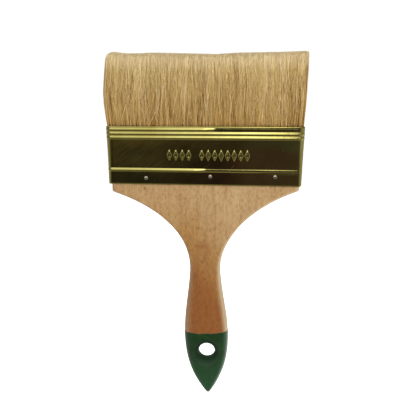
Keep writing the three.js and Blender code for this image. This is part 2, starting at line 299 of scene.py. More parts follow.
def turned(name, profile, steps, centre=(0, 0, 0), direction=1):
    """A closed body turned about Y: profile is (radius, height along Y) from its low end to its high end."""
    angles = np.linspace(0, 2 * math.pi, steps, endpoint=False)
    rings = []
    for radius, height in profile:
        flat = np.column_stack([radius * np.cos(angles), radius * np.sin(angles), np.full(steps, height)])
        rings.append(np.column_stack([flat[:, 0], flat[:, 2] * direction, -flat[:, 1] * direction]))
    return closed_loft(name, np.array(rings) + np.asarray(centre, float))


def keep(piece, material, slot, *nodes):
    """Gives a finished piece its material, parents it to the body's empty and hides the CAD nodes it stands
    for; the slot argument is not used.
    """
    piece.data.materials.clear()
    piece.data.materials.append(material)
    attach(piece, BODY)
    if nodes:
        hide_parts(*nodes)


# ---- materials ------------------------------------------------------------------------------


def tone(red, green, blue):
    """A display colour of 0 to 255 as a linear one."""
    linear = [((c / 255 + 0.055) / 1.055) ** 2.4 if c > 10 else c / 255 / 12.92 for c in (red, green, blue)]
    return (*linear, 1.0)


class Nodes:
    """Short names for the nodes that the materials and the world share."""

    def __init__(self, owner):
        owner.use_nodes = True
        self.tree = owner.node_tree
        self.tree.nodes.clear()

    def link(self, source, socket):
        self.tree.links.new(source, socket)

    def feed(self, socket, value):
        if isinstance(value, bpy.types.NodeSocket):
            self.link(value, socket)
        else:
            socket.default_value = value

    def place(self, scale=(1, 1, 1), turn=(0, 0, 0)):
        """Object coordinates, turned and then scaled."""
        place = self.tree.nodes.new("ShaderNodeTexCoord").outputs["Object"]
        for name, value in (("Rotation", turn), ("Scale", scale)):
            mapping = self.tree.nodes.new("ShaderNodeMapping")
            mapping.inputs[name].default_value = value
            self.link(place, mapping.inputs["Vector"])
            place = mapping.outputs[0]
        return place

    def reach(self, across, height, centre):
        """Distance in the front's plane from a centre, which is in millimetres."""
        squares = []
        for value, middle in zip((across, height), centre):
            offset = self.math("SUBTRACT", value, middle * MM)
            squares.append(self.math("MULTIPLY", offset, offset))
        return self.math("SQRT", self.math("ADD", *squares))

    def facing(self):
        """How far the surface looks to the front or the back, from 0 to 1."""
        normal = self.tree.nodes.new("ShaderNodeTexCoord").outputs["Normal"]
        return self.math("ABSOLUTE", self.axis(normal, "Y"))

    def noise(self, vector, scale, detail=3.0, roughness=0.5, distortion=0.0):
        node = self.tree.nodes.new("ShaderNodeTexNoise")
        self.link(vector, node.inputs["Vector"])
        node.inputs["Scale"].default_value = scale
        node.inputs["Detail"].default_value = detail
        node.inputs["Roughness"].default_value = roughness
        node.inputs["Distortion"].default_value = distortion
        return node.outputs["Fac"]

    def axis(self, vector, name):
        node = self.tree.nodes.new("ShaderNodeSeparateXYZ")
        self.link(vector, node.inputs[0])
        return node.outputs[name]

    def ramp(self, value, stops):
        """A colour ramp; a stop's colour is a linear RGBA or one grey."""
        node = self.tree.nodes.new("ShaderNodeValToRGB")
        elements = node.color_ramp.elements
        while len(elements) < len(stops):
            elements.new(0.5)
        for element, (position, colour) in zip(elements, stops):
            element.position = position
            element.color = colour if isinstance(colour, tuple) else (colour, colour, colour, 1)
        self.link(value, node.inputs[0])
        return node.outputs[0]

    def span(self, value, low, high, to_low=0.0, to_high=1.0):
        node = self.tree.nodes.new("ShaderNodeMapRange")
        self.feed(node.inputs["Value"], value)
        for name, number in zip(("From Min", "From Max", "To Min", "To Max"), (low, high, to_low, to_high)):
            node.inputs[name].default_value = number
        return node.outputs[0]

    def math(self, operation, first, second=0.0):
        node = self.tree.nodes.new("ShaderNodeMath")
        node.operation = operation
        self.feed(node.inputs[0], first)
        self.feed(node.inputs[1], second)
        return node.outputs[0]

    def mix(self, factor, first, second, blend="MIX"):
        node = self.tree.nodes.new("ShaderNodeMix")
        node.data_type = "RGBA"
        node.blend_type = blend
        self.feed(node.inputs[0], factor)
        self.feed(node.inputs[6], first)
        self.feed(node.inputs[7], second)
        return node.outputs[2]

    def bump(self, height, strength, distance, under=None):
        node = self.tree.nodes.new("ShaderNodeBump")
        node.inputs["Strength"].default_value = strength
        node.inputs["Distance"].default_value = distance
        self.link(height, node.inputs["Height"])
        if under is not None:
            self.link(under, node.inputs["Normal"])
        return node.outputs[0]


class Surface(Nodes):
    """A material with one main shader."""

    def __init__(self, name):
        self.material = bpy.data.materials.new(name)
        super().__init__(self.material)
        output = self.tree.nodes.new("ShaderNodeOutputMaterial")
        self.shader = self.tree.nodes.new("ShaderNodeBsdfPrincipled")
        self.link(self.shader.outputs[0], output.inputs[0])

    def set(self, **values):
        for name, value in values.items():
            self.shader.inputs[name.replace("_", " ")].default_value = value


def wood_material():
    """Yellowish at the head, red-brown in the grip, the change running aslant; paler on the side edges,
    partly from wear and partly a painted sheen, and the right edge paler than the left as painted light from
    the right.

    The smudge is placed by width and height alone, so it is on the back as well."""
    n = Surface("varnished_wood")
    here = n.place()
    across = n.axis(here, "X")
    height = n.axis(here, "Z")
    flame = n.noise(n.place(scale=(1, 1, 0.35)), 70, 3, 0.55, 0.6)
    rise = n.math("ADD", height, n.span(across, -0.014, 0.014, -0.014, 0.014))
    rise = n.math("ADD", rise, n.span(flame, 0.3, 0.7, -0.010, 0.010))
    body = n.ramp(n.span(rise, 0.0, 0.16), [
        (0.16, tone(126, 72, 15)), (0.30, tone(128, 76, 20)), (0.42, tone(139, 95, 42)),
        (0.54, tone(148, 110, 58)), (0.70, tone(160, 129, 84)), (0.85, tone(164, 134, 90))])
    streak = n.noise(n.place(scale=(1, 1, 0.08)), 230, 4, 0.6, 0.3)
    body = n.mix(n.span(streak, 0.45, 0.75, 0.0, 0.45), body, tone(124, 70, 24))
    mottle = n.noise(n.place(scale=(1, 1, 0.55)), 620, 4, 0.7)
    freckles = n.ramp(mottle, [(0.30, (0.72, 0.60, 0.50, 1)), (0.50, 0.98), (0.70, 1.13)])
    body = n.mix(1.0, body, freckles, "MULTIPLY")
    ragged = n.math("ADD", n.reach(across, height, SMUDGE), n.span(flame, 0.3, 0.7, -0.004, 0.004))
    smudge = n.span(ragged, 0.0, SMUDGE_REACH * MM, 0.6, 0.0)
    body = n.mix(smudge, body, tone(120, 66, 26))
    spot = n.noise(n.place(scale=(1, 1, 0.8)), 260, 1, 0.5)
    body = n.mix(n.span(spot, 0.72, 0.80, 0.0, 0.55), body, tone(98, 56, 28))
    # painted sheen and painted light: the side edges turn paler, partly wear and partly a painted sheen, and
    # the right side's edge colour is paler than the left's as painted light from the right
    facing = n.facing()
    facing = n.math("SUBTRACT", facing, n.span(rise, 0.07, 0.10, 0.0, 0.10))
    wear_and_painted_sheen = n.mix(n.span(across, -0.01, 0.01), tone(138, 108, 73), tone(172, 151, 115))
    facing = n.math("ADD", facing, n.span(flame, 0.3, 0.7, -0.05, 0.05))
    body = n.mix(n.span(facing, 0.91, 0.70, 0.0, 0.85), body, wear_and_painted_sheen)
    n.link(body, n.shader.inputs["Base Color"])
    n.link(n.span(mottle, 0.3, 0.8, 0.34, 0.5), n.shader.inputs["Roughness"])
    grain = n.math("ADD", n.math("MULTIPLY", streak, 0.5), mottle)
    n.link(n.bump(grain, 0.15, 0.0002), n.shader.inputs["Normal"])
    n.set(Coat_Weight=0.4, Coat_Roughness=0.16, Specular_IOR_Level=0.4)
    return n.material


def lacquer_material():
    """Dark green, paler towards the tip, with a painted sheen on the side edges that is stronger on the right
    as painted light from the right; dull inside the hang hole.
    """
    n = Surface("green_lacquer")
    here = n.place()
    pool = n.noise(here, 120, 3, 0.5)
    colour = n.mix(n.span(pool, 0.3, 0.7), tone(17, 42, 18), tone(26, 52, 27))
    low = n.span(n.axis(here, "Z"), 0.0, -0.03)
    colour = n.mix(n.math("MULTIPLY", low, 0.7), colour, tone(36, 68, 42))
    across = n.axis(here, "X")
    reach = n.reach(across, n.axis(here, "Z"), (HOLE_CENTRE[0], HOLE_CENTRE[2]))
    outside = n.span(reach, (HOLE_RIM_R + 0.2) * MM, (HOLE_RIM_R + 1.6) * MM)
    # painted sheen: outside the hole the side edges turn pale grey-green, stronger on the right as painted
    # light from the right
    painted_edge_sheen = n.math("MULTIPLY", outside, n.span(n.facing(), 0.86, 0.40, 0.0, 0.7))
    painted_edge_sheen = n.math("MULTIPLY", painted_edge_sheen, n.span(across, -0.01, 0.01, 0.45, 1.0))
    colour = n.mix(painted_edge_sheen, colour, tone(92, 112, 96))
    dust = n.noise(here, 2600, 1, 0.5)
    colour = n.mix(n.span(dust, 0.70, 0.78, 0.0, 0.5), colour, tone(96, 112, 88))
    n.link(colour, n.shader.inputs["Base Color"])
    scuff = n.noise(n.place(scale=(1, 1, 0.3), turn=(0, 0.5, 0)), 700, 4, 0.7)
    inside = n.span(reach, (HOLE_RIM_R - 0.9) * MM, (HOLE_RIM_R - 0.4) * MM, 0.4, 0.0)
    n.link(n.math("ADD", n.span(scuff, 0.4, 0.8, 0.08, 0.22), inside), n.shader.inputs["Roughness"])
    peel = n.noise(here, 500, 2, 0.5)
    n.link(n.bump(peel, 0.12, 0.0004), n.shader.inputs["Normal"])
    n.set(Specular_IOR_Level=0.36)
    return n.material


def brass_material():
    """Bright sheet with a little tarnish, a few specks, soft smears and slanting scratches."""
    n = Surface("brass_sheet")
    here = n.place()
    tarnish = n.noise(here, 60, 4, 0.6, 0.4)
    colour = n.mix(n.span(tarnish, 0.35, 0.7), tone(222, 212, 126), tone(202, 188, 104))
    speck = n.noise(here, 1900, 1, 0.5)
    colour = n.mix(n.span(speck, 0.72, 0.8, 0.0, 0.5), colour, tone(235, 226, 190))
    n.link(colour, n.shader.inputs["Base Color"])
    fine = n.noise(n.place(scale=(0.03, 1, 1)), 2600, 3, 0.6)
    smear = n.noise(n.place(turn=(0, 0.7, 0), scale=(0.25, 1, 1)), 240, 4, 0.65)
    scratch = n.noise(n.place(turn=(0, 0.9, 0), scale=(0.06, 1, 1)), 1500, 2, 0.5)
    nick = n.noise(n.place(turn=(0, -0.7, 0), scale=(0.08, 1, 1)), 1300, 2, 0.5)
    marks = n.math("ADD", n.span(scratch, 0.70, 0.76), n.span(nick, 0.71, 0.77))
    rough = n.math("ADD", n.span(fine, 0.35, 0.75, 0.0, 0.03), n.span(smear, 0.4, 0.8, 0.05, 0.12))
    n.link(n.math("ADD", rough, n.math("MULTIPLY", marks, 0.2)), n.shader.inputs["Roughness"])
    soft = n.bump(smear, 0.05, 0.0006)
    n.link(n.bump(marks, 0.18, 0.0001, soft), n.shader.inputs["Normal"])
    n.set(Metallic=1.0)
    return n.material


def steel_material():
    n = Surface("bright_nail_steel")
    here = n.place()
    cloud = n.noise(here, 900, 3, 0.6)
    n.link(n.mix(cloud, tone(196, 190, 180), tone(236, 233, 226)), n.shader.inputs["Base Color"])
    n.link(n.span(cloud, 0.3, 0.8, 0.06, 0.18), n.shader.inputs["Roughness"])
    n.link(n.bump(cloud, 0.15, 0.0002), n.shader.inputs["Normal"])
    n.set(Metallic=1.0)
    return n.material


def resin_material():
    n = Surface("setting_resin")
    cloud = n.noise(n.place(), 220, 4, 0.6)
    n.link(n.mix(cloud, tone(92, 62, 30), tone(132, 94, 50)), n.shader.inputs["Base Color"])
    n.link(n.span(cloud, 0.3, 0.8, 0.3, 0.5), n.shader.inputs["Roughness"])
    n.link(n.bump(cloud, 0.3, 0.0005), n.shader.inputs["Normal"])
    return n.material


def spacer_material():
    n = Surface("spacer_softwood")
    grain = n.noise(n.place(scale=(0.06, 1, 1)), 600, 4, 0.6)
    n.link(n.mix(grain, tone(176, 138, 92), tone(214, 184, 140)), n.shader.inputs["Base Color"])
    n.link(n.span(grain, 0.3, 0.8, 0.6, 0.8), n.shader.inputs["Roughness"])
    n.link(n.bump(grain, 0.4, 0.0003), n.shader.inputs["Normal"])
    return n.material


STRAND_MAP = "OFBake"               # the name of the strands' colour map
STRAND_MAP_WIDTH = 0.008            # a strand's share of the map's width


def strand_material():
    """Bristle colour by strand (across the map) and from root to tip (up the map)."""
    n = Surface("hog_bristle")
    node = n.tree.nodes.new("ShaderNodeUVMap")
    node.uv_map = STRAND_MAP
    strand = n.axis(node.outputs[0], "X")
    share = n.axis(node.outputs[0], "Y")
    own = n.ramp(strand, [
        (0.0, tone(92, 53, 20)), (0.12, tone(148, 111, 58)), (0.34, tone(196, 169, 107)),
        (0.72, tone(224, 204, 149)), (1.0, tone(248, 238, 202))])
    length = n.ramp(share, [
        (0.0, tone(196, 162, 120)), (0.15, tone(222, 198, 160)), (0.45, tone(238, 222, 196)),
        (0.8, tone(250, 240, 224)), (1.0, tone(255, 250, 240))])
    colour = n.mix(1.0, own, length, "MULTIPLY")
    spread = n.tree.nodes.new("ShaderNodeMapping")
    spread.inputs["Scale"].default_value = (70, 11, 1)
    n.link(node.outputs[0], spread.inputs["Vector"])
    band = n.noise(spread.outputs[0], 1.0, 3, 0.6)
    colour = n.mix(1.0, colour, n.ramp(band, [(0.3, 0.66), (0.5, 0.97), (0.7, 1.03)]), "MULTIPLY")
    colour = n.mix(n.span(share, 0.80, 1.0, 0.0, 0.55), colour, tone(246, 226, 186))
    n.link(colour, n.shader.inputs["Base Color"])
    n.set(Roughness=0.5, Specular_IOR_Level=0.35)
    return n.material


def core_material():
    """The packed bristle behind the outer strands, as fine streaks."""
    n = Surface("packed_bristle")
    streak = n.noise(n.place(scale=(1, 1, 0.03)), 1400, 4, 0.7)
    body = n.ramp(streak, [(0.3, tone(98, 66, 34)), (0.55, tone(150, 112, 68)), (0.8, tone(186, 150, 102))])
    end = n.span(n.axis(n.place(), "Z"), 0.225, 0.229, 0.0, 0.9)
    body = n.mix(end, body, tone(222, 196, 150))
    n.link(body, n.shader.inputs["Base Color"])
    n.link(n.bump(streak, 0.6, 0.0004), n.shader.inputs["Normal"])
    n.set(Roughness=0.7, Specular_IOR_Level=0.2)
    return n.material


# ---- handle and dipped tip ------------------------------------------------------------------


def handle_half_thickness(z):
    upper = NECK_HALF_THICK + (HEAD_HALF_THICK - NECK_HALF_THICK) * smoothstep(NECK_Z, SHOULDER_Z, z)
    middle = GRIP_HALF_THICK + (NECK_HALF_THICK - GRIP_HALF_THICK) * smoothstep(DIP_Z, NECK_Z, z)
    down = np.clip((DIP_Z - z) / (DIP_Z - TIP_Z), 0, 1)
    lower = np.maximum(GRIP_HALF_THICK * np.sqrt(1 - down ** 3), NOSE_HALF_THICK)
    return np.where(z > NECK_Z, upper, np.where(z > DIP_Z, middle, lower))


def handle_rings(curves, proud):
    """Rings of the handle along (points, steps) curves, its surface moved outwards by proud."""
    rings = []
    for index, (points, steps) in enumerate(curves):
        places, tangents = bezier(points, steps, skip_first=index > 0)
        for (half, z), (out, up) in zip(places, tangents):
            square = smoothstep(*EDGE_RISE, z)
            edge_x, edge_y = (grip + (head - grip) * square for grip, head in zip(GRIP_EDGE, HEAD_EDGE))
            ring = section_ring(z - out * proud, max(half + up * proud, 0.2),
                                handle_half_thickness(z) + proud, edge_x / max(up, 0.2), edge_y,
                                steps=(16, 4, 18))
            ring[:, 0] += np.interp(z, BEND_HEIGHTS, BEND)
            rings.append(ring)
    return rings


def hole_profile(margin):
    """The hang hole's wall: a straight waist, eased out to both faces; from front to back."""
    face = GRIP_HALF_THICK + COAT_PROUD
    share = np.linspace(0, 1, 15)
    radii = HOLE_WAIST_R + (HOLE_RIM_R - HOLE_WAIST_R) * share ** HOLE_EASE + margin
    depths = HOLE_WAIST_HALF + (face - HOLE_WAIST_HALF) * share
    half = list(zip(radii, depths)) + [(HOLE_RIM_R + margin, face + 2)]
    return [(radius, -depth) for radius, depth in reversed(half)] + half


def make_handle():
    curves = [(NOSE_POINTS, 4), (TIP_POINTS, 44), (GRIP_POINTS, 44), (SHOULDER_POINTS, 90), (HEAD_POINTS, 8)]
    rings = handle_rings(curves, 0.0)
    for z in np.linspace(HEAD_POINTS[-1][1], HEAD_TOP_Z, 8)[1:]:
        top = rings[-1].copy()
        top[:, 2] = z
        rings.append(top)
    handle = closed_loft("handle_wood", rings)
    return cut(handle, turned("hole", hole_profile(COAT_PROUD), 96, HOLE_CENTRE))


def make_dip_coat():
    """The tip's shell: an outer body with its edge rounded and slightly wavy, less the wood's own shape."""
    curves = [(NOSE_POINTS, 6), (TIP_POINTS, 60)]
    rings = handle_rings(curves, COAT_PROUD)
    coat = closed_loft("dip_coat_film", rings)
    cut(coat, turned("hole", hole_profile(0.0), 128, HOLE_CENTRE))
    modified(coat, "REMESH", mode="VOXEL", voxel_size=COAT_VOXEL * MM, use_smooth_shade=True)
    modified(coat, "SMOOTH", factor=0.5, iterations=3)
    co = np.zeros(len(coat.data.vertices) * 3)
    coat.data.vertices.foreach_get("co", co)
    co = co.reshape(-1, 3)
    lift = smoothstep(DIP_Z - DIP_EDGE_REACH, DIP_Z, co[:, 2] / MM)
    wave = 0.12 * np.sin(co[:, 0] / MM * 0.55 + 1.3) + 0.08 * np.sin(co[:, 0] / MM * 1.3)
    co[:, 2] += lift * (DIP_TILT * co[:, 0] + wave * MM)
    coat.data.vertices.foreach_set("co", co.ravel())
    core = handle_rings([(NOSE_POINTS, 4), (TIP_POINTS, 44), (GRIP_POINTS, 44)], COAT_GAP)
    inner = closed_loft("core", core)
    cut(inner, turned("hole", hole_profile(COAT_PROUD - COAT_GAP), 96, HOLE_CENTRE))
    return cut(coat, inner)


# ---- ferrule and nails ----------------------------------------------------------------------


def turned_on_head(points):
    """Turns points of the ferrule or the bristle about Y, a little more towards the ferrule's lower edge."""
    fall = np.clip((FERRULE_TOP_Z - points[..., 2]) / (FERRULE_TOP_Z - FERRULE_BOTTOM_Z), 0, 1)
    turn = TURN_TOP + (TURN_BOTTOM - TURN_TOP) * fall
    x = points[..., 0] + (points[..., 2] - TURN_CENTRE_Z) * TURN_TOP
    z = points[..., 2] - points[..., 0] * turn - FERRULE_SAG * fall
    return np.stack([x, points[..., 1], z], -1)


def ferrule_ring(z):
    share = (z - FERRULE_BOTTOM_Z) / (FERRULE_TOP_Z - FERRULE_BOTTOM_Z)
    half = FERRULE_BOTTOM_HALF + (FERRULE_TOP_HALF - FERRULE_BOTTOM_HALF) * share
    fold = half - PANEL_HALF
    deep = fold + (FERRULE_HALF_THICK * 0.7 - fold) * share
    return section_ring(z, half, FERRULE_HALF_THICK, fold, deep, steps=(360, 16, 14))


def ferrule_heights():
    """Row heights of the ferrule's mesh: close together on the beads and across the lozenges."""
    rows = set(np.round(np.linspace(FERRULE_BOTTOM_Z, FERRULE_TOP_Z, 50), 3))
    rows |= set(np.round(np.linspace(LOZENGE_CENTRE[1] - 4.6, LOZENGE_CENTRE[1] + 4.6, 31), 3))
    for bead in [BEADS[0] - RIDGE_DROP, *BEADS]:
        low = max(bead - BEAD_HALF_WIDTH * 1.25, FERRULE_BOTTOM_Z)
        high = min(bead + BEAD_HALF_WIDTH * 1.25, FERRULE_TOP_Z)
        rows |= set(np.round(np.linspace(low, high, 17), 3))
    return np.array(sorted(rows))


def bead_height(z, x):
    """The four beads; the lowest and the one at the mouth are pressed nearly flat over the right half."""
    pressed = np.array([0.92 * smoothstep(-9, 2, x), 0 * x, 0 * x, smoothstep(-2, 9, x)])
    height = np.zeros_like(x)
    for bead, flat in zip(BEADS, pressed):
        across = np.clip((z - bead) / BEAD_HALF_WIDTH, -1, 1)
        height = height + BEAD_HEIGHT * (1 - 0.84 * flat) * np.cos(across * math.pi / 2) ** 1.3
    ridge = np.clip((z - BEADS[0] + RIDGE_DROP) / 0.7, -1, 1)
    return height + RIDGE_HEIGHT * smoothstep(38, 50, x) * np.cos(ridge * math.pi / 2)


def lozenge_height(x, z):
    """A row of lozenges raised as outlines, with one place left empty."""
    height = np.zeros_like(x)
    for place in range(-LOZENGE_REACH, LOZENGE_REACH + 1):
        if place == LOZENGE_EMPTY:
            continue
        reach = (np.abs(x - LOZENGE_CENTRE[0] - place * LOZENGE_PITCH) / LOZENGE_HALF[0]
                 + np.abs(z - LOZENGE_CENTRE[1]) / LOZENGE_HALF[1])
        outline = smoothstep(1.12, 0.86, reach) * (0.35 + 0.65 * smoothstep(0.30, 0.62, reach))
        height = np.maximum(height, LOZENGE_HEIGHT * outline)
    return height


def dent_depth(x, z):
    depth = np.zeros_like(x)
    for centre, rise, reach, amount in DENTS:
        square = ((x - centre) / reach) ** 2 + ((z - FERRULE_BOTTOM_Z - rise) / (reach * 0.6)) ** 2
        depth = depth + amount * np.exp(-square)
    return depth + 0.02 * np.sin(x / 9.1 + 0.7) * np.sin(z / 5.3)


def make_ferrule():
    """The sheet: an outer wall with beads, knocks, lozenges and a lap, an inner wall, and rolled lips."""
    outer = []
    inner = []
    for z in ferrule_heights():
        ring = ferrule_ring(z)
        x, y = ring[:, 0], ring[:, 1]
        run = np.roll(ring, -1, axis=0) - np.roll(ring, 1, axis=0)
        normal = np.column_stack([run[:, 1], -run[:, 0], np.zeros(len(run))])
        normal /= np.linalg.norm(normal, axis=1, keepdims=True)
        panel = smoothstep(PANEL_HALF + 1.5, PANEL_HALF - 1.0, np.abs(x))
        narrow = smoothstep(PANEL_HALF - 1, PANEL_HALF + 2, np.abs(x))
        beads = bead_height(z, x) * (0.2 + 0.8 * panel)
        front = (y < 0) * panel
        back = (y > 0) * panel
        emboss = lozenge_height(x, np.full_like(x, z)) * front
        knocks = dent_depth(x, z) * front + dent_depth(-x, z) * back
        lap = LAP_HEIGHT * (x < 0) * smoothstep(-2.0, -2.6, y) * narrow
        raised = ring + normal * (beads + emboss - knocks + lap)[:, None]
        pressed = ring + normal * (beads + emboss - knocks - SHEET)[:, None]
        outer.append(raised)
        inner.append(pressed)
    outer, inner = np.array(outer), np.array(inner)
    middle = (outer + inner) / 2
    bottom_lip = middle[:1] - [0, 0, SHEET * 0.15]
    top_lip = middle[-1:] + [0, 0, SHEET * 0.5]
    shell = turned_on_head(np.concatenate([bottom_lip, outer, top_lip, inner[::-4]]))
    rows, columns = shell.shape[:2]
    return new_piece("ferrule_sheet", shell.reshape(-1, 3), wall_faces(rows, columns, closed=True))


def make_nails(material):
    """A round head with a slightly flattened crown, and a shank, for every CAD nail."""
    for node in sorted(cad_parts):
        if not node.startswith("nail_"):
            continue
        low, high = cad_box(node)
        side = -1 if "front" in node else 1
        centre = (low + high) / 2
        radius = (high[0] - low[0]) / 2
        angles = np.linspace(0, math.pi / 2, 9)
        crown = [(radius * math.cos(a) ** 0.8 + 0.001, math.sin(a) * NAIL_CROWN) for a in angles[:-1]]
        crown.append((0.05, NAIL_CROWN))
        seat = FERRULE_HALF_THICK + 0.02
        shank = [(0.06, seat - NAIL_REACH), (NAIL_SHANK_R, seat - NAIL_TAPER_START),
                 (NAIL_SHANK_R, seat - 0.02), (radius * 0.97, seat - 0.01)]
        profile = shank + [(r, seat + h) for r, h in crown]
        shift = (NAIL_SHIFT[0] + NAIL_SHIFT[1] * centre[0]) * (side < 0)
        head = turned("round_" + node, profile, 28, (centre[0] + shift, 0, centre[2]), side)
        keep(head, material, "nail_steel", node)


# ---- bristle --------------------------------------------------------------------------------

RNG = np.random.default_rng(11)


def bristle_half(z, side):
    """Half width of the bristle at a height, on the side of a place's sign."""
    left = np.interp(z, BRISTLE_HEIGHTS, LEFT_HALF)
    right = np.interp(z, BRISTLE_HEIGHTS, RIGHT_HALF)
    return np.where(side < 0, left, right)


def bristle_thick(z):
    return np.interp(z, BRISTLE_HEIGHTS, HALF_THICK)


def trim_height(across, deep):
    """Where the longest strands end: a shallow saddle across the width, lower at the faces and corners."""
    rise = np.interp(across * FERRULE_TOP_HALF, TRIM_PLACES, TRIM_RISE)
    corner = np.where(across < 0, 4.0, 0.6) * np.abs(np.clip(across, -1, 1)) ** 50
    return BRISTLE_TOP_Z + rise - corner - 0.7 * np.abs(deep) ** 2


def strand_courses(roots, pull, kind):
    """Where each strand runs, root to tip, which ones are strays, and the rings' places along a strand."""
    across, deep = roots
    count = len(across)
    strays = (RNG.random(count) < kind.stray_share) & (np.abs(across) < 0.9)
    t = 1 - (1 - np.linspace(0, 1, kind.rings + 1)[None, :]) ** kind.crowding
    end_z = trim_height(across, deep) - RNG.exponential(kind.shortfall, count) * (0.3 + 0.7 * np.abs(deep))
    end_z = np.where(strays, end_z - RNG.uniform(2, 34, count), end_z)
    start_z = np.full(count, ROOT_Z) if kind.length is None else end_z - kind.length
    z = start_z[:, None] + (end_z - start_z)[:, None] * t
    edge = across[:, None]
    root_half = bristle_half(ROOT_Z, edge)
    x = edge * root_half + (bristle_half(z, edge) - root_half) * np.sign(edge) * np.abs(edge) ** 3
    y = deep[:, None] * bristle_thick(z)
    opened = np.clip((z - ROOT_Z) / (BRISTLE_TOP_Z - ROOT_Z), 0, 1)
    gather = 1.0 - 0.9 * smoothstep(0.1, 0.7, opened)
    x += pull[:, 0, None] * gather
    y += pull[:, 1, None] * gather
    lean = np.where(strays, RNG.normal(0, 0.24, count), np.clip(RNG.normal(0, 0.07, count), -0.1, 0.1))
    lean = lean * np.where(np.abs(across) > 0.93, 0.2, 1.0)
    lean = np.where(strays & (np.abs(across) > 0.75), -np.abs(lean) * np.sign(across), lean)
    x += lean[:, None] * (z - start_z[:, None]) * (0.55 + 0.45 * t)
    weave = RNG.uniform(0, 1.0, count) * np.sign(deep) * (kind.stray_share > 0)
    weave = np.where(strays, RNG.uniform(0.5, 1.1, count) * np.sign(deep), weave)
    phase = RNG.uniform(0, 2 * math.pi, (3, count, 1))
    y += weave[:, None] * np.sin(t * 6.5 + phase[2]) * np.sin(np.clip(t * 1.15, 0, 1) * math.pi)
    sway = (np.where(strays, 0.9, 0.42) * np.where(np.abs(across) > 0.96, 0.3, 1.0))[:, None]
    x += sway * (np.sin(t * 5.5 + phase[0]) - np.sin(phase[0])) * t
    y += 0.06 * (np.sin(t * 6.5 + phase[1]) - np.sin(phase[1])) * t
    return np.stack([x, y, z], -1), strays, t


def strand_faces(rings, count):
    """Faces of three-sided strands: every strand's quads first, then all the tips, then all the root caps."""
    base = (np.arange(count) * (rings * 3 + 1))[:, None, None]
    row, side = np.meshgrid(np.arange(rings - 1), np.arange(3), indexing="ij")
    following = (side + 1) % 3
    quads = np.stack([row * 3 + side, row * 3 + following, row * 3 + 3 + following, row * 3 + 3 + side], -1)
    quads = (quads.reshape(1, -1, 4) + base).reshape(-1, 4)
    last = (rings - 1) * 3
    tips = np.array([[last + s, last + (s + 1) % 3, last + 3] for s in range(3)])
    tips = (tips[None] + base).reshape(-1, 3)
    caps = (np.array([[2, 1, 0]])[None] + base).reshape(-1, 3)
    return quads.tolist() + tips.tolist() + caps.tolist()


def strand_mesh(name, roots, pull, tones, kind):
    """Tapered three-sided strands; roots are places in the section, each from -1 to 1 both ways."""
    centre, strays, t = strand_courses(roots, pull, kind)
    count = len(centre)
    radius = RNG.uniform(*STRAND_RADII, count)[:, None] * (1 - 0.25 * t[:, :-1] ** 2)
    turn = RNG.uniform(0, 2 * math.pi, count)[:, None, None] + np.arange(3) * 2 * math.pi / 3
    ring = np.stack([np.cos(turn), np.sin(turn), np.zeros_like(turn)], -1)
    ring = centre[:, :-1, None, :] + ring * radius[:, :, None, None]
    vertices = turned_on_head(np.concatenate([ring.reshape(count, -1, 3), centre[:, -1:, :]], 1))
    piece = new_piece(name, vertices.reshape(-1, 3), strand_faces(kind.rings, count))
    own = 0.45 * RNG.beta(1.3, 1.15, count) + 0.55 * tones
    own = np.clip(np.where(strays, 0.6 + 0.4 * own, own), 0.01, 0.985)
    add_strand_map(piece, own, t[0], kind)
    return piece


def add_strand_map(piece, own, t, kind):
    """Maps every strand to its own column: across by its colour, up by its length."""
    rings, count, width = kind.rings, len(own), STRAND_MAP_WIDTH
    up = kind.share_start + (1 - kind.share_start) * t
    row = np.repeat(np.arange(rings - 1), 3)
    quad_u = np.tile([0, width, width, 0], (len(row), 1))
    quad_v = np.stack([up[row], up[row], up[row + 1], up[row + 1]], -1)
    quad_u = np.tile(quad_u[None], (count, 1, 1)) + own[:, None, None]
    quad_v = np.tile(quad_v[None], (count, 1, 1))
    tip_u = np.tile([0, width, width / 2], (count, 3, 1)) + own[:, None, None]
    tip_v = np.tile([up[rings - 1], up[rings - 1], up[rings]], (count, 3, 1))
    cap_u = np.tile([0, width, width / 2], (count, 1, 1)) + own[:, None, None]
    cap_v = np.tile([up[0], up[0], up[0] + 0.01], (count, 1, 1))
    u = np.concatenate([quad_u.ravel(), tip_u.ravel(), cap_u.ravel()])
    v = np.concatenate([quad_v.ravel(), tip_v.ravel(), cap_v.ravel()])
    layer = piece.data.uv_layers.new(name=STRAND_MAP)
    layer.data.foreach_set("uv", np.column_stack([u, v]).ravel())


